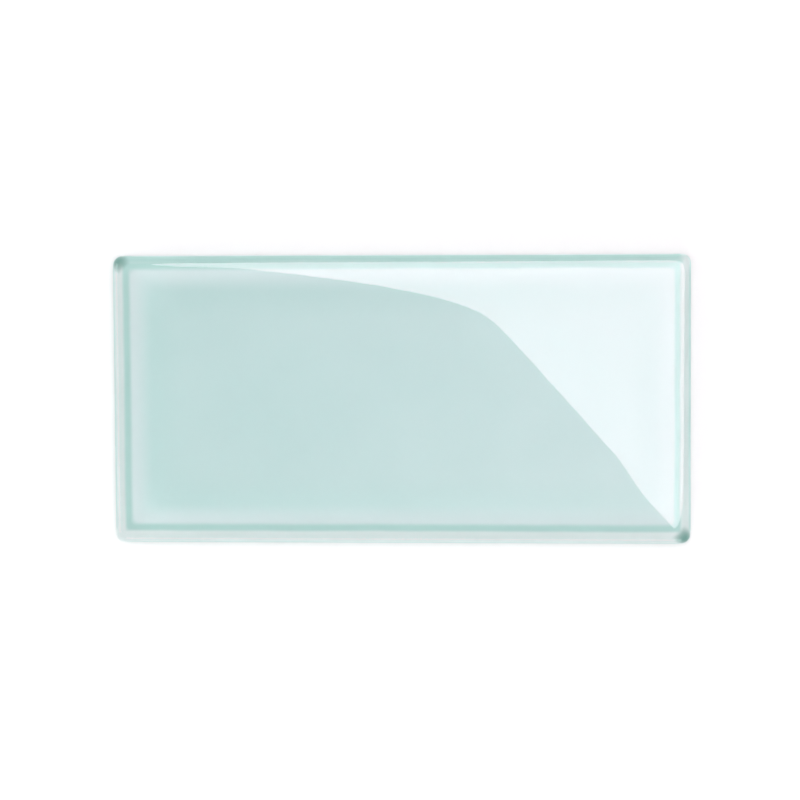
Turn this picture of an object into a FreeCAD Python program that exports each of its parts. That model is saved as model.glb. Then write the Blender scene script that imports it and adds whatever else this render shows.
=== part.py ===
"""Glass subway tile, 3 x 6 inch trade size, lying on its back with the glossy face up.

The body is one piece of clear glass. Its face is flat in the middle and falls away to the edges in
a shallow cushion, as glass does when it is fired until its cut edges soften, and the cushion ends
in a small round rim. Towards the four corners the cushion falls further than along the edges. The
sides are plain and upright, and the back edge has a fine arris.
The colour is a thin coat on the back of the glass, seen through it. The coat stops just short of
the edge, and the tile is bedded on it.

Frame: millimetres, +X along the tile's length, +Y across it, +Z out of the face. The origin is the
centre of the back, on the surface that the tile lies on.
"""

import FreeCAD, Part
import math
import operator
import os
from dataclasses import dataclass

import Sketcher

PARTS_FOLDER = "parts"

# Driving dimensions: alias, millimetres, meaning.
DIMENSIONS = (
    ("tile_length", 152.0, "length over the glass"),
    ("tile_width", 76.0, "width over the glass"),
    ("tile_thickness", 8.0, "from the bedding side to the middle of the face"),
    ("corner_radius", 2.5, "upright corners, seen from above"),
    ("cushion_width", 12.0, "from the edge in to where the face is flat"),
    ("cushion_drop", 0.5, "how far the cushion has fallen at a straight edge"),
    ("flat_corner", 2.0, "corner radius of the flat middle of the face"),
    ("rim_radius", 2.0, "round rim between the cushion and the sides"),
    ("arris_radius", 0.6, "fine round along the back edge"),
    ("coat_thickness", 0.3, "colour and primer together"),
    ("coat_margin", 1.2, "bare glass between the coat and the edge"),
    ("coat_corner", 1.3, "corners of the coat, seen from above"),
)

# The cushion's cutter runs on past the edge by this share of the cushion's corner radius. The
# outline's own corners lie at most 0.42 of that radius outside the cushion's contour.
REACH_SHARE = 0.5

# Ends of a sketch's curve, and an arc's centre.
START, END, CENTRE = 1, 2, 3

# The sketch's own origin, as a constraint names it.
ORIGIN = (-1, 1)

UPRIGHT_TOLERANCE = 1e-6


@dataclass(frozen=True)
class Size:
    """A length in millimetres, with the formula that ties it to the sheet."""

    value: float
    formula: str

    def combined(self, other, symbol, rule):
        """This size and another size or plain number, joined by one of the four rules."""
        number, text = (other.value, other.formula) if isinstance(other, Size) else (other, other)
        return Size(rule(self.value, number), f"({self.formula} {symbol} {text})")

    def __add__(self, other):
        return self.combined(other, "+", operator.add)

    def __sub__(self, other):
        return self.combined(other, "-", operator.sub)

    def __mul__(self, other):
        return self.combined(other, "*", operator.mul)

    def __truediv__(self, other):
        return self.combined(other, "/", operator.truediv)


def add_sheet(doc):
    """The sheet that holds every driving dimension, each under its own alias."""
    sheet = doc.addObject("Spreadsheet::Sheet", "sizes")
    for row, (alias, value, meaning) in enumerate(DIMENSIONS, start=1):
        sheet.set(f"A{row}", alias)
        sheet.set(f"B{row}", str(value))
        sheet.set(f"C{row}", meaning)
        sheet.setAlias(f"B{row}", alias)
    doc.recompute()
    return sheet


def read_sizes(sheet):
    """The sheet's dimensions by alias."""
    return {
        alias: Size(float(getattr(sheet, alias)), f"{sheet.Name}.{alias}")
        for alias, _, _ in DIMENSIONS
    }


def add_body(doc, label):
    """An empty body for one piece of the tile."""
    body = doc.addObject("PartDesign::Body", label)
    body.Label = label
    return body


def add_sketch(body, name, plane, offset=None):
    """A sketch on one of the body's own planes, moved along its normal by the offset."""
    sketch = body.newObject("Sketcher::SketchObject", name)
    origin_plane = next(part for part in body.Origin.OriginFeatures if part.Role == plane)
    sketch.AttachmentSupport = [(origin_plane, "")]
    sketch.MapMode = "FlatFace"
    if offset is not None:
        sketch.setExpression(".AttachmentOffset.Base.z", offset.formula)
    return sketch


def constrain(sketch, kind, *elements):
    """Adds a constraint between elements of a sketch."""
    return sketch.addConstraint(Sketcher.Constraint(kind, *elements))


def bind(sketch, kind, elements, name, size):
    """Adds a measured constraint under its own name and ties it to the sheet."""
    index = constrain(sketch, kind, *elements, size.value)
    sketch.renameConstraint(index, name)
    sketch.setExpression(f"Constraints.{name}", size.formula)


def draw_rounded_rectangle(sketch, length, width, radius):
    """A rectangle with round corners, centred on the sketch's origin."""
    reach_x = length.value / 2 - radius.value
    reach_y = width.value / 2 - radius.value
    centres = ((reach_x, reach_y), (-reach_x, reach_y), (-reach_x, -reach_y), (reach_x, -reach_y))
    corners = []
    for turn, (x, y) in enumerate(centres):
        circle = Part.Circle(FreeCAD.Vector(x, y, 0), FreeCAD.Vector(0, 0, 1), radius.value)
        begin = turn * math.pi / 2
        corners.append(Part.ArcOfCircle(circle, begin, begin + math.pi / 2))
    arcs = [sketch.addGeometry(corner, False) for corner in corners]
    pairs = list(zip(corners, corners[1:] + corners[:1]))
    lines = [
        sketch.addGeometry(Part.LineSegment(corner.EndPoint, following.StartPoint), False)
        for corner, following in pairs
    ]
    for arc, line, following in zip(arcs, lines, arcs[1:] + arcs[:1]):
        constrain(sketch, "Tangent", arc, END, line, START)
        constrain(sketch, "Tangent", line, END, following, START)
    for arc in arcs[1:]:
        constrain(sketch, "Equal", arcs[0], arc)
    top, left, bottom, right = lines
    constrain(sketch, "Horizontal", top)
    constrain(sketch, "Vertical", left)
    constrain(sketch, "Symmetric", top, START, bottom, START, *ORIGIN)
    bind(sketch, "DistanceX", (left, START, right, START), "length", length)
    bind(sketch, "DistanceY", (bottom, START, top, START), "width", width)
    bind(sketch, "Radius", (arcs[0],), "corner", radius)


def draw_cushion_section(sketch, sizes):
    """What the cushion takes off, in section at the +X edge: above an arc that leaves the flat
    level and has fallen by the cushion's drop where it crosses the edge."""
    flat_end = sizes["tile_length"] / 2 - sizes["cushion_width"]
    edge = sizes["tile_length"] / 2
    face = sizes["tile_thickness"]
    reach = sizes["cushion_width"] + (sizes["cushion_width"] + sizes["flat_corner"]) * REACH_SHARE
    rise = sizes["rim_radius"]
    fallen = face - sizes["cushion_drop"]

    span = sizes["cushion_width"].value
    drop = sizes["cushion_drop"].value
    radius = (span**2 + drop**2) / (2 * drop)
    centre = FreeCAD.Vector(flat_end.value, face.value - radius, 0)
    circle = Part.Circle(centre, FreeCAD.Vector(0, 0, 1), radius)
    fall = math.asin(reach.value / radius)
    curve = Part.ArcOfCircle(circle, math.pi / 2 - fall, math.pi / 2)
    above_flat = FreeCAD.Vector(flat_end.value, face.value + rise.value, 0)
    above_outside = above_flat + FreeCAD.Vector(reach.value, 0, 0)

    cushion = sketch.addGeometry(curve, False)
    inside = sketch.addGeometry(Part.LineSegment(curve.EndPoint, above_flat), False)
    lid = sketch.addGeometry(Part.LineSegment(above_flat, above_outside), False)
    outside = sketch.addGeometry(Part.LineSegment(above_outside, curve.StartPoint), False)
    crossing = sketch.addGeometry(Part.Point(FreeCAD.Vector(edge.value, fallen.value, 0)), True)

    constrain(sketch, "Coincident", cushion, END, inside, START)
    constrain(sketch, "Coincident", inside, END, lid, START)
    constrain(sketch, "Coincident", lid, END, outside, START)
    constrain(sketch, "Coincident", outside, END, cushion, START)
    constrain(sketch, "Vertical", cushion, CENTRE, cushion, END)
    constrain(sketch, "Vertical", inside)
    constrain(sketch, "Horizontal", lid)
    constrain(sketch, "Vertical", outside)
    constrain(sketch, "PointOnObject", crossing, START, cushion)
    bind(sketch, "DistanceX", (*ORIGIN, cushion, END), "flat_end", flat_end)
    bind(sketch, "DistanceY", (*ORIGIN, cushion, END), "face", face)
    bind(sketch, "DistanceX", (*ORIGIN, crossing, START), "edge", edge)
    bind(sketch, "DistanceY", (*ORIGIN, crossing, START), "fallen", fallen)
    bind(sketch, "DistanceY", (inside, START, inside, END), "rise", rise)
    bind(sketch, "DistanceX", (lid, START, lid, END), "reach", reach)


def add_pad(body, name, sketch, thickness):
    """Thickens a sketch upwards."""
    pad = body.newObject("PartDesign::Pad", name)
    pad.Profile = sketch
    pad.setExpression("Length", thickness.formula)
    return pad


def outline_edges(shape, upper):
    """Names of the edges where the upright sides meet the face, or the back."""
    sides = []
    for face in shape.Faces:
        first, last, low, high = face.ParameterRange
        normal = face.normalAt((first + last) / 2, (low + high) / 2)
        if abs(normal.z) < UPRIGHT_TOLERANCE:
            sides.append(face)
    middle = (shape.BoundBox.ZMin + shape.BoundBox.ZMax) / 2
    names = []
    for number, edge in enumerate(shape.Edges, start=1):
        box = edge.BoundBox
        along = max(box.XLength, box.YLength) > UPRIGHT_TOLERANCE
        on_side = any(edge.isSame(other) for face in sides for other in face.Edges)
        if along and on_side and (box.Center.z > middle) == upper:
            names.append(f"Edge{number}")
    return names


def add_round(body, name, base, upper, radius):
    """Rounds the outline's edges at the face or at the back."""
    rounding = body.newObject("PartDesign::Fillet", name)
    rounding.Base = (base, outline_edges(base.Shape, upper))
    rounding.setExpression("Radius", radius.formula)
    return rounding


def build_glass(doc, sizes):
    """The glass: a plate cut by the cushion, with its rim and its back edge rounded."""
    body = add_body(doc, "glass_body")
    outline = add_sketch(body, "outline", "XY_Plane", sizes["coat_thickness"])
    draw_rounded_rectangle(
        outline, sizes["tile_length"], sizes["tile_width"], sizes["corner_radius"]
    )
    thickness = sizes["tile_thickness"] - sizes["coat_thickness"]
    plate = add_pad(body, "plate", outline, thickness)
    doc.recompute()
    plate_volume = plate.Shape.Volume

    contour_corner = sizes["cushion_width"] + sizes["flat_corner"]
    contour = add_sketch(body, "cushion_contour", "XY_Plane", sizes["tile_thickness"])
    draw_rounded_rectangle(contour, sizes["tile_length"], sizes["tile_width"], contour_corner)
    path_start = contour_corner - sizes["tile_width"] / 2
    section = add_sketch(body, "cushion_section", "XZ_Plane", path_start)
    draw_cushion_section(section, sizes)
    cushion = body.newObject("PartDesign::SubtractivePipe", "cushion")
    cushion.Profile = section
    cushion.Spine = contour
    doc.recompute()
    if not cushion.Shape.Volume < plate_volume:
        raise RuntimeError("the cushion takes nothing off the plate")

    rim = add_round(body, "rim", cushion, True, sizes["rim_radius"])
    doc.recompute()
    add_round(body, "arris", rim, False, sizes["arris_radius"])
    doc.recompute()
    return body


def build_coat(doc, sizes):
    """The colour coat: a thin sheet under the glass, a little smaller all round."""
    body = add_body(doc, "colour_coat")
    outline = add_sketch(body, "coat_outline", "XY_Plane")
    length = sizes["tile_length"] - sizes["coat_margin"] * 2
    width = sizes["tile_width"] - sizes["coat_margin"] * 2
    draw_rounded_rectangle(outline, length, width, sizes["coat_corner"])
    add_pad(body, "coat", outline, sizes["coat_thickness"])
    doc.recompute()
    return body


def check_document(doc):
    """Stops where an object of the document didn't come out."""
    for item in doc.Objects:
        if "Invalid" in item.State or "Error" in item.State:
            raise RuntimeError(f"{item.Name} failed: {item.State}")


def write_step(body):
    """Writes one piece to its own file, once it is a sound single solid."""
    shape = body.Shape
    if shape.isNull() or not shape.isValid() or len(shape.Solids) != 1:
        raise RuntimeError(f"{body.Label} isn't a valid single solid")
    shape.exportStep(os.path.join(PARTS_FOLDER, f"{body.Label}.step"))
    box = shape.optimalBoundingBox(True, False)
    print(
        f"{body.Label}: {shape.Volume:.1f} mm3, {len(shape.Faces)} faces, "
        f"X {box.XMin:.3f} to {box.XMax:.3f}, Y {box.YMin:.3f} to {box.YMax:.3f}, "
        f"Z {box.ZMin:.3f} to {box.ZMax:.3f}"
    )


def main():
    """Builds the tile and writes its pieces."""
    doc = FreeCAD.newDocument("glass_tile")
    sizes = read_sizes(add_sheet(doc))
    bodies = [build_glass(doc, sizes), build_coat(doc, sizes)]
    check_document(doc)
    os.makedirs(PARTS_FOLDER, exist_ok=True)
    for body in bodies:
        write_step(body)


main()
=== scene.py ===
"""Glass subway tile: the glass, its colour coat, and the studio that it is seen in.

The glass and the coat are both plates made by one rule, a grid wrapped round a rounded rectangle.
The glass gets the cushion and rim that firing leaves on its face. The coat lies on the back of the
glass, so its colour is seen through the clear body. Their length, width and height come from the
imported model. Sizes of the plates and their finishes are written in millimetres, those of the studio
in metres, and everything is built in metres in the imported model's frame.
"""

import logging
import math
from dataclasses import dataclass
from enum import Enum
from typing import Any

import bmesh
import bpy
from mathutils import Matrix, Vector


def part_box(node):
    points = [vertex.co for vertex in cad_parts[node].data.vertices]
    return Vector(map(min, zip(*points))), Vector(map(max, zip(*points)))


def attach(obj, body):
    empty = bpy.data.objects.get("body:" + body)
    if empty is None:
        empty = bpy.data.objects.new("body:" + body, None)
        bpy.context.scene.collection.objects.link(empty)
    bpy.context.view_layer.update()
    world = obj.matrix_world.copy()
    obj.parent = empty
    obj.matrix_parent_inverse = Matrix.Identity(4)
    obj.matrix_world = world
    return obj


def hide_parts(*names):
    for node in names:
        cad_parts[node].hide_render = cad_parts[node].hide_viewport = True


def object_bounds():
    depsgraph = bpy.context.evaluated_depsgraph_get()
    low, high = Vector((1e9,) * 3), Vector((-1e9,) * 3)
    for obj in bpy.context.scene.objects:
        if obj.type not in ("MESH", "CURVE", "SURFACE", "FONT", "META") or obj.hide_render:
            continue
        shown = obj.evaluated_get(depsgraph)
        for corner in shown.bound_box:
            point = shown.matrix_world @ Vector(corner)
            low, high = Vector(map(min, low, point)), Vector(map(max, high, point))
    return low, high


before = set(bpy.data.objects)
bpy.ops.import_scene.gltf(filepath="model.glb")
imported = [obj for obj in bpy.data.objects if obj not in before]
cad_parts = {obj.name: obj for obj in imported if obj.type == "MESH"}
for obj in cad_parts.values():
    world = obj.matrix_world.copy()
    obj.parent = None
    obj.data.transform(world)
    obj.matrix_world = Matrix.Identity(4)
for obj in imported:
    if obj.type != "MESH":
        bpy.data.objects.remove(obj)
cad_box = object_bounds()

log = logging.getLogger("glass_tile")

Colour = tuple[float, float, float, float]

MM = 0.001
IMAGE_WIDTH = 800
WELD_DISTANCE = 1e-7

# An area lamp's watts for each square metre at a radiance of 1.
AREA_LAMP_FACTOR = 4.0


class Rays(Enum):
    """Kinds of ray that see the floor's far part as plain white."""

    CAMERA = "Is Camera Ray"
    GLOSSY = "Is Glossy Ray"
    TRANSMISSION = "Is Transmission Ray"


class Signal:
    """One value that runs through a node tree, for writing its maths as expressions."""

    def __init__(self, graph: "Graph", socket: bpy.types.NodeSocket) -> None:
        """Keeps the graph and the output socket that the value comes from."""
        self.graph = graph
        self.socket = socket

    def math(self, operation: str, *others: Any) -> "Signal":
        """Adds a Math node.

        Args:
            operation: the Math node's operation.
            others: the second and third operands, signals or numbers.

        Returns:
            The node's result.
        """
        values = dict(enumerate((self, *others)))
        return self.graph.out("ShaderNodeMath", {"operation": operation}, values)

    def __add__(self, other: Any) -> "Signal":
        """Self plus other."""
        return self.math("ADD", other)

    def __sub__(self, other: Any) -> "Signal":
        """Self minus other."""
        return self.math("SUBTRACT", other)

    def __rsub__(self, other: float) -> "Signal":
        """Other minus self, as a multiply and add."""
        return self.math("MULTIPLY_ADD", -1.0, other)

    def __mul__(self, other: Any) -> "Signal":
        """Self times other."""
        return self.math("MULTIPLY", other)

    def __truediv__(self, other: Any) -> "Signal":
        """Self divided by other."""
        return self.math("DIVIDE", other)

    def at_least(self, other: Any) -> "Signal":
        """The larger of the two."""
        return self.math("MAXIMUM", other)

    def at_most(self, other: Any) -> "Signal":
        """The smaller of the two."""
        return self.math("MINIMUM", other)

    def clamped(self) -> "Signal":
        """Held between 0 and 1."""
        return self.at_least(0.0).at_most(1.0)

    def ramp(self, low: Any, high: Any) -> "Signal":
        """Eases from 0 at low to 1 at high."""
        share = ((self - low) / (high - low)).clamped()
        return share * share * (3.0 - share * 2.0)


class Graph:
    """A node tree, and the one way in which nodes are added to it."""

    def __init__(self, tree: bpy.types.NodeTree) -> None:
        """Keeps the tree."""
        self.tree = tree

    def feed(self, socket: bpy.types.NodeSocket, value: Any) -> None:
        """Links a signal or an output socket to an input, or sets a plain value there."""
        if isinstance(value, Signal):
            value = value.socket
        if isinstance(value, bpy.types.NodeSocket):
            self.tree.links.new(value, socket)
        else:
            socket.default_value = value

    def add(
        self,
        kind: str,
        settings: dict[str, Any] | None = None,
        values: dict[Any, Any] | None = None,
    ) -> bpy.types.Node:
        """Adds a node.

        Args:
            kind: the node's type.
            settings: the node's own properties. They are set first.
            values: what goes into its sockets, by the socket's name or number.

        Returns:
            The node.
        """
        node = self.tree.nodes.new(kind)
        for name, setting in (settings or {}).items():
            setattr(node, name, setting)
        for key, value in (values or {}).items():
            self.feed(node.inputs[key], value)
        return node

    def out(
        self,
        kind: str,
        settings: dict[str, Any] | None = None,
        values: dict[Any, Any] | None = None,
        output: Any = 0,
    ) -> Signal:
        """Adds a node and returns one of its outputs as a signal. Args are those of add."""
        return Signal(self, self.add(kind, settings, values).outputs[output])

    def noise(self, place: Any, scale: float, detail: float, roughness: float = 0.5) -> Signal:
        """Adds a noise texture.

        Args:
            place: the position that the noise is read at.
            scale: how many of its features lie in a metre.
            detail: how many finer layers it has.
            roughness: how strong the finer layers are.

        Returns:
            The noise, mostly between 0.3 and 0.7.
        """
        return self.out(
            "ShaderNodeTexNoise",
            {"noise_dimensions": "3D"},
            {"Vector": place, "Scale": scale, "Detail": detail, "Roughness": roughness},
        )

    def mix_colours(self, factor: Any, first: Any, second: Any) -> bpy.types.NodeSocket:
        """Blends two colours.

        Args:
            factor: 0 for the first colour, 1 for the second.
            first: a colour, or a socket that carries one.
            second: the same.

        Returns:
            The blended colour's socket.
        """
        node = self.add("ShaderNodeMix", {"data_type": "RGBA"})
        self.feed(node.inputs["Factor"], factor)
        colours = [socket for socket in node.inputs if socket.type == "RGBA"]
        for socket, colour in zip(colours, (first, second)):
            self.feed(socket, colour)
        return next(socket for socket in node.outputs if socket.type == "RGBA")


@dataclass(frozen=True)
class PlateGrid:
    """How many steps each band of a plate's grid is divided into."""

    short_side: int = 72
    long_side: int = 144
    corner: int = 10
    flat: int = 26
    cushion: int = 14
    rim: int = 10
    side: int = 4
    arris: int = 6
    back: int = 3

    @property
    def around(self) -> tuple[int, ...]:
        """Steps of the bands round the plate, from the lower end of the +X side."""
        return (self.short_side, self.corner, self.long_side, self.corner) * 2

    @property
    def across(self) -> tuple[int, ...]:
        """Steps of the bands from the middle of the face, over the edge, to the middle below."""
        return (self.flat, self.cushion, self.rim, self.side, self.arris, self.back)


@dataclass(frozen=True)
class PlateSizes:
    """Sizes of a plate in millimetres. Each is an input of the plate's geometry nodes."""

    length: float
    width: float
    low: float
    high: float
    corner: float
    cushion_width: float
    cushion_drop: float
    rim: float
    arris: float
    wave_depth: float
    wave_length: float
    edge_wander: float

    @classmethod
    def of_node(cls, node: str, sunk: float = 0.0, **shape: float) -> "PlateSizes":
        """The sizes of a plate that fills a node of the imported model.

        Args:
            node: the node's name.
            sunk: how far the plate reaches into what lies on it.
            shape: the sizes that the node's box doesn't give.

        Returns:
            The plate's sizes.
        """
        lowest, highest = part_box(node)
        return cls(
            length=(highest[0] - lowest[0]) / MM,
            width=(highest[1] - lowest[1]) / MM,
            low=lowest[2] / MM,
            high=highest[2] / MM + sunk,
            **shape,
        )

    def inputs(self) -> dict[str, float]:
        """The sizes in metres, by the name of their input."""
        return {name: value * MM for name, value in vars(self).items()}


class PlateRule:
    """Geometry nodes that wrap a grid round a rounded rectangle.

    One direction of the grid runs round the plate. The other runs from the middle of the face over
    the cushion, the rim, the side and the arris to the middle of the back.
    """

    NOISE_SEED = 7.0
    NOISE_ROUGHNESS = 0.4
    CUSHION_POWER = 3.8
    EDGE_WAVE_SHARE = 0.5

    def __init__(self, name: str, sizes: PlateSizes, grid: PlateGrid) -> None:
        """Keeps what the plate is made from.

        Args:
            name: the node group's name.
            sizes: the plate's sizes.
            grid: how finely each band is divided.
        """
        self.name = name
        self.sizes = sizes
        self.grid = grid

    def bands(self, place: Signal, counts: tuple[int, ...]) -> list[Signal]:
        """How far along each band a point has come.

        Args:
            place: the point's row or column number.
            counts: each band's number of steps.

        Returns:
            One signal a band, 0 before the band, 1 after it.
        """
        shares = []
        begin = 0
        for count in counts:
            shares.append(((place - float(begin)) / float(count)).clamped())
            begin += count
        return shares

    def build_tree(self, material: bpy.types.Material) -> bpy.types.NodeTree:
        """Builds the node group.

        Args:
            material: what the plate's faces are given.

        Returns:
            The node group.
        """
        tree = bpy.data.node_groups.new(self.name, "GeometryNodeTree")
        tree.interface.new_socket(
            name="Geometry", in_out="OUTPUT", socket_type="NodeSocketGeometry"
        )
        for name in self.sizes.inputs():
            tree.interface.new_socket(name=name, in_out="INPUT", socket_type="NodeSocketFloat")
        graph = Graph(tree)
        entry = graph.add("NodeGroupInput")
        size = {name: Signal(graph, entry.outputs[name]) for name in self.sizes.inputs()}

        columns = sum(self.grid.around)
        rows = sum(self.grid.across)
        sheet = graph.add(
            "GeometryNodeMeshGrid",
            values={
                "Size X": float(columns),
                "Size Y": float(rows),
                "Vertices X": columns + 1,
                "Vertices Y": rows + 1,
            },
        )
        place = graph.add(
            "ShaderNodeSeparateXYZ", values={0: graph.out("GeometryNodeInputPosition")}
        )
        column = Signal(graph, place.outputs["X"]) + columns / 2
        row = Signal(graph, place.outputs["Y"]) + rows / 2

        point = self.point(graph, size, column, row)
        placed = graph.out(
            "GeometryNodeSetPosition", values={"Geometry": sheet.outputs["Mesh"], "Position": point}
        )
        welded = graph.out(
            "GeometryNodeMergeByDistance", values={"Geometry": placed, "Distance": WELD_DISTANCE}
        )
        smooth = graph.out("GeometryNodeSetShadeSmooth", values={"Geometry": welded})
        real = graph.out("GeometryNodeRealizeInstances", values={"Geometry": smooth})
        dressed = graph.out(
            "GeometryNodeSetMaterial", values={"Geometry": real, "Material": material}
        )
        graph.add("NodeGroupOutput", values={"Geometry": dressed})
        return tree

    def point(
        self, graph: Graph, size: dict[str, Signal], column: Signal, row: Signal
    ) -> Signal:
        """Where a point of the grid lies on the plate.

        Args:
            graph: the node group being built.
            size: the plate's sizes by name.
            column: the point's place round the plate.
            row: its place from the middle of the face to the middle of the back.

        Returns:
            The position.
        """
        right, turn_a, top, turn_b, left, turn_c, bottom, turn_d = self.bands(
            column, self.grid.around
        )
        flat, cushion, rim, side, arris, back = self.bands(row, self.grid.across)

        core_x = 1.0 - top * 2.0 + bottom * 2.0
        core_y = right * 2.0 - left * 2.0 - 1.0
        angle = (turn_a + turn_b + turn_c + turn_d) * (math.pi / 2)
        out_x = angle.math("COSINE")
        out_y = angle.math("SINE")

        half_length = size["length"] * 0.5
        half_width = size["width"] * 0.5
        rim_angle = rim * (math.pi / 2)
        arris_angle = arris * (math.pi / 2)
        inset = (
            (half_width - size["cushion_width"]) * (1.0 - flat)
            + (size["cushion_width"] - size["rim"]) * (1.0 - cushion)
            + size["rim"] * (1.0 - rim_angle.math("SINE"))
            + size["arris"] * (1.0 - arris_angle.math("COSINE"))
            + (half_width - size["arris"]) * back
        )
        corner = size["corner"].at_most(half_width - inset)
        reach_x = half_length - inset
        reach_y = half_width - inset

        flat_x = core_x * (reach_x - corner) + corner * out_x
        flat_y = core_y * (reach_y - corner) + corner * out_y
        near_edge = (rim + cushion) * 0.5 * (1.0 - back)
        edge_wave = size["wave_length"] * self.EDGE_WAVE_SHARE
        wander = self.unevenness(graph, flat_x, flat_y, edge_wave)
        pulled = wander * size["edge_wander"] * near_edge
        x = flat_x - pulled * out_x
        y = flat_y - pulled * out_y

        fallen = self.cushion_fall(size, half_length, x) + self.cushion_fall(size, half_width, y)
        rim_fall = size["rim"] * (1.0 - rim_angle.math("COSINE"))
        wave = self.unevenness(graph, x, y, size["wave_length"]) * size["wave_depth"]
        face = size["high"] - fallen - rim_fall - wave
        foot = size["low"] + size["arris"]
        z = face * (1.0 - side) + foot * side - size["arris"] * arris_angle.math("SINE")
        return graph.out("ShaderNodeCombineXYZ", values={"X": x, "Y": y, "Z": z})

    def cushion_fall(self, size: dict[str, Signal], half: Signal, place: Signal) -> Signal:
        """How far the face has fallen towards two facing sides. It leaves the flat with no line,
        so the fall grows with a high power of the way across the cushion.

        Args:
            size: the plate's sizes by name.
            half: the sides' distance from the middle.
            place: the point's distance from the middle, along the same axis.

        Returns:
            The fall, 0 over the flat.
        """
        past = place.math("ABSOLUTE") - (half - size["cushion_width"])
        share = (past / size["cushion_width"]).at_least(0.0)
        return share.math("POWER", self.CUSHION_POWER) * size["cushion_drop"]

    def unevenness(self, graph: Graph, x: Signal, y: Signal, length: Signal) -> Signal:
        """A slow rise and fall over the plate, between 0 and 1.

        Args:
            graph: the node group being built.
            x: the point's place along the plate.
            y: its place across it.
            length: the distance from one rise to the next.

        Returns:
            The unevenness at the point.
        """
        place = graph.out(
            "ShaderNodeCombineXYZ", values={"X": x / length, "Y": y / length, "Z": self.NOISE_SEED}
        )
        return graph.noise(place, scale=1.0, detail=1.0, roughness=self.NOISE_ROUGHNESS)

    def build_piece(self, name: str, material: bpy.types.Material) -> bpy.types.Object:
        """Runs the rule and keeps its result as a plain mesh.

        Args:
            name: the piece's name.
            material: what the piece is dressed with.

        Returns:
            The piece, at the origin, with its normals outwards.
        """
        tree = self.build_tree(material)
        piece = bpy.data.objects.new(name, bpy.data.meshes.new(name))
        bpy.context.scene.collection.objects.link(piece)
        modifier = piece.modifiers.new("plate", "NODES")
        modifier.node_group = tree
        values = self.sizes.inputs()
        for item in tree.interface.items_tree:
            if item.in_out == "INPUT":
                modifier[item.identifier] = values[item.name]
        evaluated = piece.evaluated_get(bpy.context.evaluated_depsgraph_get())
        mesh = bpy.data.meshes.new_from_object(evaluated)
        piece.modifiers.remove(modifier)
        self.turn_outwards(mesh)
        mesh.name = name
        piece.data = mesh
        return piece

    def turn_outwards(self, mesh: bpy.types.Mesh) -> None:
        """Points the mesh's faces outwards and reports an edge that isn't closed."""
        work = bmesh.new()
        work.from_mesh(mesh)
        bmesh.ops.recalc_face_normals(work, faces=work.faces)
        open_edges = sum(not edge.is_manifold for edge in work.edges)
        if open_edges:
            log.warning("%s has %d open edges", mesh.name, open_edges)
        work.to_mesh(mesh)
        work.free()


@dataclass(frozen=True)
class Ripple:
    """A fine unevenness of a surface. Its waves are given in millimetres."""

    wave: float
    depth: float
    stretch: float = 1.0

    def height(self, graph: Graph, place: Any) -> Signal:
        """The ripple's height in metres.

        Args:
            graph: the material's graph.
            place: the position in the piece.

        Returns:
            The height, with waves stretched along the upright by the ripple's stretch.
        """
        drawn = graph.out(
            "ShaderNodeVectorMath",
            {"operation": "MULTIPLY"},
            {0: place, 1: (1.0, 1.0, 1.0 / self.stretch)},
        )
        return graph.noise(drawn, scale=1.0 / (self.wave * MM), detail=1.0) * (self.depth * MM)


@dataclass(frozen=True)
class GlassFinish:
    """Clear fire-polished glass with a faint green in its depth.

    The face is the smoothest. The sides, up to the rim, keep faint upright ripples from the mould
    and are a little smeared. The bare margin of the back is matt. The heights at which the sides
    and the back end are in millimetres.
    """

    refraction: float = 1.52
    tint: Colour = (0.36, 0.80, 0.66, 1.0)
    tint_density: float = 4.0
    face_ripple: Ripple = Ripple(wave=7.0, depth=0.0008)
    side_ripple: Ripple = Ripple(wave=1.6, depth=0.016, stretch=7.0)
    side_roughness: float = 0.06
    back_roughness: float = 0.30
    side_ends: tuple[float, float] = (5.2, 6.4)
    back_ends: tuple[float, float] = (0.35, 0.5)
    smear_scale: float = 260.0
    smear_range: tuple[float, float] = (0.40, 0.65)

    def material(self) -> bpy.types.Material:
        """The glass's material."""
        material, graph, surface, output = start_material("fired_glass")
        surface.inputs["Base Color"].default_value = (1.0, 1.0, 1.0, 1.0)
        surface.inputs["IOR"].default_value = self.refraction
        surface.inputs["Transmission Weight"].default_value = 1.0
        depth = graph.add(
            "ShaderNodeVolumeAbsorption",
            values={"Color": self.tint, "Density": self.tint_density},
        )
        graph.feed(output.inputs["Volume"], depth.outputs[0])

        place = graph.add("ShaderNodeTexCoord").outputs["Object"]
        axes = graph.add("ShaderNodeSeparateXYZ", values={0: place})
        z = Signal(graph, axes.outputs["Z"]) * (1 / MM)
        side = 1.0 - z.ramp(*self.side_ends)
        back = 1.0 - z.ramp(*self.back_ends)
        smear = graph.noise(place, self.smear_scale, detail=2.0).ramp(*self.smear_range)
        graph.feed(
            surface.inputs["Roughness"],
            side * smear * self.side_roughness + back * self.back_roughness,
        )
        height = self.face_ripple.height(graph, place)
        height = height + self.side_ripple.height(graph, place) * side
        bump = graph.add("ShaderNodeBump", values={"Height": height, "Distance": 1.0})
        graph.feed(surface.inputs["Normal"], bump.outputs["Normal"])
        return material


@dataclass(frozen=True)
class Zone:
    """A zone of the film's painted light and shade, counted inwards from its edge in millimetres."""

    begins: float
    fade: float
    colour: Colour


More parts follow.
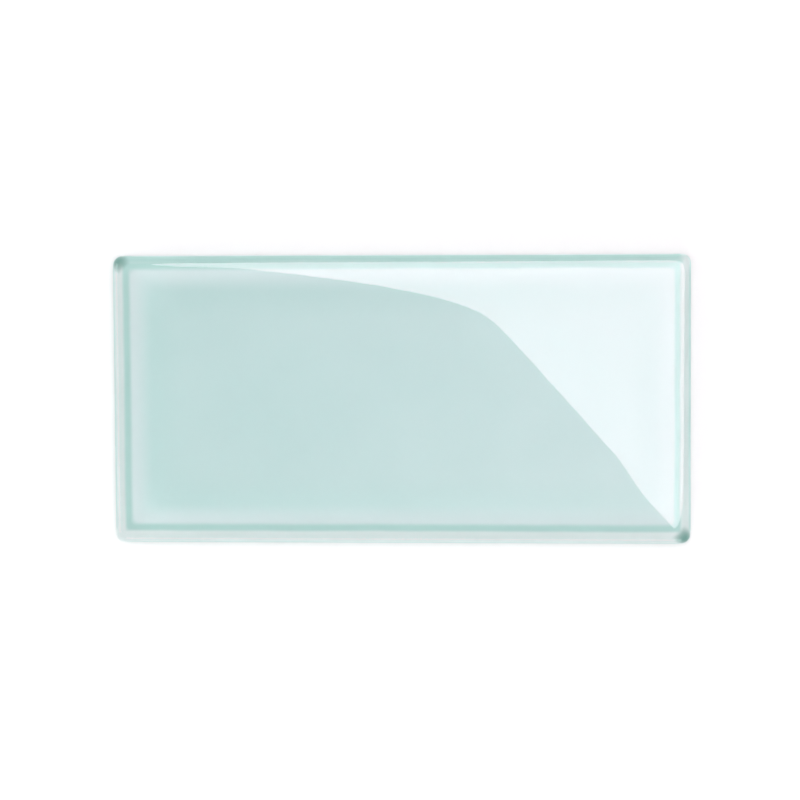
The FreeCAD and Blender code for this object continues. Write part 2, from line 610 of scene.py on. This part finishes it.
@dataclass(frozen=True)
class CoatFinish:
    """Sprayed aqua colour against the glass, over a pale primer on the outside.

    The film's colour holds painted light and shade. A pale strip of painted light lies at its very
    edge, then a darker line of painted shade for the glass rim's dark refraction, with more painted
    shade in two opposite corners. A paler band of painted light follows, for light that comes in
    through the glass's sides. The window within the band has the coat's own clouded colour, with
    painted shade along its edges and towards the left end, away from the key lamp. The painted line
    and band lie a little off the middle, so the line is further in on two sides. Distances are in
    millimetres, and a scale is a noise's number of features in a metre.
    """

    length: float
    width: float
    # Painted light: a pale strip at the film's very edge, for light along the glass rim.
    painted_edge_light_colour: Colour = (0.90, 1.0, 0.99, 1.0)
    painted_light_and_shade_zones: tuple[Zone, ...] = (
        # Painted shade: a darker green line near the edge, for the glass rim's dark refraction.
        Zone(1.4, 0.9, (0.56, 0.84, 0.795, 1.0)),
        # Painted light: a paler band, for light that comes in through the glass's sides.
        Zone(3.1, 1.3, (0.85, 0.99, 1.0, 1.0)),
    )
    # The painted line and band are centred this far off the middle.
    off_middle: tuple[float, float] = (-0.2, 0.35)
    zone_wander: float = 0.6
    window_begins: float = 6.6
    window_fade: float = 5.2
    # The window's two colours: the darker one carries painted shade, the paler one painted light.
    window_full_and_shaded: Colour = (0.659, 0.883, 0.869, 1.0)
    window_thin_and_lit: Colour = (0.835, 0.990, 0.995, 1.0)
    # Painted shade: how much darker the window grows towards the left end, away from the key lamp.
    painted_light_falloff: float = 0.8
    # Painted shade along the window's edges: how much, and over what width.
    painted_edge_shade: float = 0.22
    painted_edge_shade_width: float = 8.0
    cloudiness: float = 0.40
    cloud_scale: float = 45.0
    corner_softness: float = 0.7
    # Painted shade: dark green in two opposite corners, between the two distances below.
    painted_corner_shade_colour: Colour = (0.10, 0.37, 0.31, 1.0)
    corner_begins: float = 1.4
    corner_reach: float = 4.7
    primer: Colour = (0.76, 0.78, 0.77, 1.0)
    primer_thin: Colour = (0.71, 0.755, 0.745, 1.0)
    patch_scale: float = 150.0
    patch_range: tuple[float, float] = (0.38, 0.72)
    peel: Ripple = Ripple(wave=1.1, depth=0.05)
    film_rise: tuple[float, float] = (0.13, 0.17)
    roughness: float = 0.5
    grain: float = 0.2
    grain_scale: float = 1800.0

    def material(self) -> bpy.types.Material:
        """The coat's material."""
        material, graph, surface, _ = start_material("colour_coat_film_painted_light")
        place = graph.add("ShaderNodeTexCoord").outputs["Object"]
        axes = graph.add("ShaderNodeSeparateXYZ", values={0: place})
        x, y, z = (Signal(graph, axes.outputs[name]) * (1 / MM) for name in "XYZ")
        film = z.ramp(*self.film_rise)
        patches = graph.noise(place, self.patch_scale, detail=5.0).ramp(*self.patch_range)
        primed = graph.mix_colours(patches, self.primer, self.primer_thin)
        # The film's own colour with painted light and shade in it.
        film_with_painted_light = self.film_colour_with_painted_light(graph, place, x, y)
        graph.feed(surface.inputs["Base Color"], graph.mix_colours(film, primed, film_with_painted_light))
        grains = graph.noise(place, self.grain_scale, detail=1.0)
        graph.feed(surface.inputs["Roughness"], grains * self.grain + self.roughness)
        outside = self.peel.height(graph, place) * (1.0 - film)
        bump = graph.add("ShaderNodeBump", values={"Height": outside, "Distance": 1.0})
        graph.feed(surface.inputs["Normal"], bump.outputs["Normal"])
        return material

    def film_colour_with_painted_light(self, graph: Graph, place: Any, x: Signal, y: Signal) -> bpy.types.NodeSocket:
        """The colour film's colour, with its painted light and shade.

        Args:
            graph: the material's graph.
            place: the position in the piece.
            x: the place along the tile in millimetres.
            y: the place across it in millimetres.

        Returns:
            The colour's socket.
        """
        cloud = graph.noise(place, self.cloud_scale, detail=3.0) - 0.5
        from_end = self.length / 2 - (x - self.off_middle[0]).math("ABSOLUTE")
        from_side = self.width / 2 - (y - self.off_middle[1]).math("ABSOLUTE")
        softness = from_end.at_most(from_side) * self.corner_softness
        from_edge = from_end.math("SMOOTH_MIN", from_side, softness) + cloud * self.zone_wander

        # The film starts from its painted edge light; each zone colour then adds painted shade or
        # painted light in turn.
        colour: Any = self.painted_edge_light_colour
        for zone in self.painted_light_and_shade_zones:
            passed = from_edge.ramp(zone.begins - zone.fade / 2, zone.begins + zone.fade / 2)
            colour = graph.mix_colours(passed, colour, zone.colour)

        inner = self.window_begins + self.window_fade / 2
        # Painted shade along the window's edges.
        edge_shade = 1.0 - from_edge.ramp(inner, inner + self.painted_edge_shade_width)
        # Painted shade darkens the window towards the left end, away from the key lamp; the cloud is
        # the coat's own mottling.
        thin_and_lit = x * (self.painted_light_falloff / self.length) + (1.0 - self.painted_light_falloff / 2)
        thin_and_lit = thin_and_lit + cloud * self.cloudiness - edge_shade * self.painted_edge_shade
        window_tone = graph.mix_colours(thin_and_lit.clamped(), self.window_full_and_shaded, self.window_thin_and_lit)
        window = from_edge.ramp(inner - self.window_fade, inner)
        colour = graph.mix_colours(window, colour, window_tone)
        # Painted shade darkens two opposite corners.
        return graph.mix_colours(self.painted_corner_shade(x, y), colour, self.painted_corner_shade_colour)

    def painted_corner_shade(self, x: Signal, y: Signal) -> Signal:
        """How much painted shade darkens a place. It does so in the two corners where x and y
        differ in sign.

        Args:
            x: the place along the tile in millimetres.
            y: the place across it in millimetres.

        Returns:
            1 at those corners, 0 away from them.
        """
        from_corner = (self.length + self.width) / 2 - x.math("ABSOLUTE") - y.math("ABSOLUTE")
        near = 1.0 - from_corner.ramp(self.corner_begins, self.corner_reach)
        signs_differ = (x * y * -1.0).clamped()
        return near * signs_differ


def start_material(
    name: str,
) -> tuple[bpy.types.Material, Graph, bpy.types.Node, bpy.types.Node]:
    """An empty material with a Principled surface.

    Args:
        name: the material's name.

    Returns:
        The material, its graph, the Principled node and the output node.
    """
    material = bpy.data.materials.new(name)
    material.use_nodes = True
    material.node_tree.nodes.clear()
    graph = Graph(material.node_tree)
    surface = graph.add("ShaderNodeBsdfPrincipled")
    output = graph.add("ShaderNodeOutputMaterial", values={"Surface": surface.outputs[0]})
    return material, graph, surface, output


@dataclass(frozen=True)
class TileGlass:
    """The clear body of the tile."""

    sizes: PlateSizes = PlateSizes.of_node(
        "glass_body",
        corner=2.5,
        cushion_width=20.0,
        cushion_drop=0.526,
        rim=2.0,
        arris=0.6,
        wave_depth=0.02,
        wave_length=45.0,
        edge_wander=0.08,
    )
    grid: PlateGrid = PlateGrid()
    finish: GlassFinish = GlassFinish()

    def build(self) -> bpy.types.Object:
        """The glass, made, dressed and riding on the tile's body."""
        rule = PlateRule("glass_plate_rule", self.sizes, self.grid)
        piece = rule.build_piece("tile_glass", self.finish.material())
        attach(piece, "root")
        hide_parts("glass_body")
        return piece


@dataclass(frozen=True)
class ColourCoat:
    """The colour and primer on the back of the glass. It reaches a hair into the glass, as a film
    that is bonded to it has no air between."""

    sizes: PlateSizes = PlateSizes.of_node(
        "colour_coat",
        sunk=0.04,
        corner=1.3,
        cushion_width=2.0,
        cushion_drop=0.0,
        rim=0.06,
        arris=0.06,
        wave_depth=0.0,
        wave_length=9.0,
        edge_wander=0.0,
    )
    grid: PlateGrid = PlateGrid(
        short_side=40, long_side=80, corner=6, flat=8, cushion=2, rim=3, side=2, arris=3, back=6
    )
    finish: CoatFinish = CoatFinish(length=sizes.length, width=sizes.width)

    def build(self) -> bpy.types.Object:
        """The coat, made, dressed and riding on the tile's body."""
        rule = PlateRule("coat_plate_rule", self.sizes, self.grid)
        piece = rule.build_piece("tile_colour_coat", self.finish.material())
        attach(piece, "root")
        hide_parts("colour_coat")
        return piece


@dataclass(frozen=True)
class SoftLamp:
    """A soft lamp that faces the tile from overhead.

    Its turn round the tile and its near and far edges are angles in degrees, the edges' off the
    upright. Its span, along those edges, and its distance from the tile are in metres.
    """

    name: str
    turn: float
    near_edge: float
    far_edge: float
    span: float
    radiance: float
    colour: tuple[float, float, float] = (1.0, 1.0, 1.0)
    distance: float = 1.3

    def hang(self) -> None:
        """Hangs the lamp, square to the line from the tile to its middle."""
        light = bpy.data.lights.new(self.name, "AREA")
        light.shape = "RECTANGLE"
        light.color = self.colour
        lean = math.radians(self.near_edge + self.far_edge) / 2
        half_angle = math.radians(self.far_edge - self.near_edge) / 2
        light.size = 2 * self.distance * math.tan(half_angle)
        light.size_y = self.span
        light.energy = self.radiance * AREA_LAMP_FACTOR * light.size * light.size_y
        lamp = bpy.data.objects.new(self.name, light)
        turn = math.radians(self.turn)
        lamp.location = (
            self.distance * math.sin(lean) * math.cos(turn),
            self.distance * math.sin(lean) * math.sin(turn),
            self.distance * math.cos(lean),
        )
        lamp.rotation_euler = (0.0, lean, turn)
        bpy.context.scene.collection.objects.link(lamp)


def low_lamp(name: str, turn: float) -> SoftLamp:
    """A low lamp at one side of the tile. Its green makes up for the red of the key lamp.

    Args:
        name: the lamp's name.
        turn: its direction from the tile in degrees.

    Returns:
        The lamp.
    """
    return SoftLamp(
        name,
        turn,
        near_edge=50.0,
        far_edge=75.0,
        span=1.2,
        radiance=2.1,
        colour=(0.86, 1.0, 0.96),
    )


@dataclass(frozen=True)
class Studio:
    """The pale floor, the surroundings, the soft lamps and the camera."""

    camera_place: tuple[float, float, float] = (0.06, 0.06, 0.8)
    tile_pixels: float = 580.0
    sensor: float = 36.0
    floor_size: float = 8.0
    floor_colour: Colour = (0.850, 0.883, 0.876, 1.0)
    white_from: float = 0.12
    white_to: float = 0.30
    backdrop_rise: float = 0.14
    wall_rise: float = 0.60
    rise_fade: float = 0.10
    backdrop_level: float = 1.0
    wall_level: float = 0.60
    ceiling_level: float = 0.64
    lamps: tuple[SoftLamp, ...] = (
        SoftLamp(
            "key_lamp",
            turn=42.4,
            near_edge=-2.4,
            far_edge=24.0,
            span=0.8,
            radiance=4.5,
            colour=(1.0, 0.80, 0.87),
        ),
        low_lamp("front_lamp", turn=-90.0),
        low_lamp("left_lamp", turn=180.0),
    )

    def build(self) -> None:
        """Sets up everything that isn't the tile."""
        self.add_floor()
        self.add_world()
        for lamp in self.lamps:
            lamp.hang()
        self.add_camera()

    def add_floor(self) -> None:
        """A pale floor that keeps the tile's shadow and turns plain white further out."""
        mesh = bpy.data.meshes.new("floor")
        half = self.floor_size / 2
        corners = [(-half, -half, 0.0), (half, -half, 0.0), (half, half, 0.0), (-half, half, 0.0)]
        mesh.from_pydata(corners, [], [(0, 1, 2, 3)])
        floor = bpy.data.objects.new("floor", mesh)
        bpy.context.scene.collection.objects.link(floor)

        material, graph, surface, output = start_material("floor_white")
        surface.inputs["Base Color"].default_value = self.floor_colour
        surface.inputs["Roughness"].default_value = 1.0
        surface.inputs["Specular IOR Level"].default_value = 0.0
        place = graph.add("ShaderNodeTexCoord").outputs["Object"]
        distance = graph.out("ShaderNodeVectorMath", {"operation": "LENGTH"}, {0: place}, "Value")
        path = graph.add("ShaderNodeLightPath")
        camera, glossy, transmission = (Signal(graph, path.outputs[kind.value]) for kind in Rays)
        far = distance.ramp(self.white_from, self.white_to)
        white = graph.add("ShaderNodeEmission", values={"Strength": 1.0})
        blend = graph.add(
            "ShaderNodeMixShader",
            values={
                0: far * (camera + glossy + transmission).clamped(),
                1: surface.outputs[0],
                2: white.outputs[0],
            },
        )
        graph.feed(output.inputs["Surface"], blend.outputs[0])
        mesh.materials.append(material)

    def add_world(self) -> None:
        """A white backdrop low down, plainer walls above it and a soft ceiling."""
        world = bpy.data.worlds.new("studio")
        bpy.context.scene.world = world
        world.use_nodes = True
        world.node_tree.nodes.clear()
        graph = Graph(world.node_tree)
        way = graph.add("ShaderNodeTexCoord").outputs["Generated"]
        rise = Signal(graph, graph.add("ShaderNodeSeparateXYZ", values={0: way}).outputs["Z"])
        walls = rise.ramp(self.backdrop_rise, self.backdrop_rise + self.rise_fade)
        ceiling = rise.ramp(self.wall_rise, self.wall_rise + self.rise_fade)
        level = (
            walls * (self.wall_level - self.backdrop_level)
            + ceiling * (self.ceiling_level - self.wall_level)
            + self.backdrop_level
        )
        light = graph.add(
            "ShaderNodeBackground", values={"Color": (1.0, 1.0, 1.0, 1.0), "Strength": level}
        )
        graph.add("ShaderNodeOutputWorld", values={"Surface": light.outputs[0]})

    def add_camera(self) -> None:
        """A long lens that looks down on the face, a little from the upper right. The long edges
        lie level in the picture."""
        low, high = cad_box
        place = Vector(self.camera_place)
        aim = Vector((0.0, 0.0, high.z)) - place
        picture_width = (high.x - low.x) * IMAGE_WIDTH / self.tile_pixels
        data = bpy.data.cameras.new("camera")
        data.sensor_width = self.sensor
        data.lens = self.sensor * aim.length / picture_width
        camera = bpy.data.objects.new("camera", data)
        camera.location = place
        backwards = -aim.normalized()
        along = Vector((1.0, 0.0, 0.0))
        rightwards = (along - backwards * along.dot(backwards)).normalized()
        upwards = backwards.cross(rightwards)
        camera.rotation_euler = Matrix((rightwards, upwards, backwards)).transposed().to_euler()
        bpy.context.scene.collection.objects.link(camera)
        bpy.context.scene.camera = camera
        bpy.context.scene.view_settings.view_transform = "Standard"


def main() -> None:
    """Builds the tile and its studio, and reports each piece."""
    logging.basicConfig(level=logging.INFO, format="%(name)s: %(message)s")
    for part in (TileGlass(), ColourCoat()):
        piece = part.build()
        log.info("%s: %d faces", piece.name, len(piece.data.polygons))
    Studio().build()


if __name__ == "__main__":
    main()
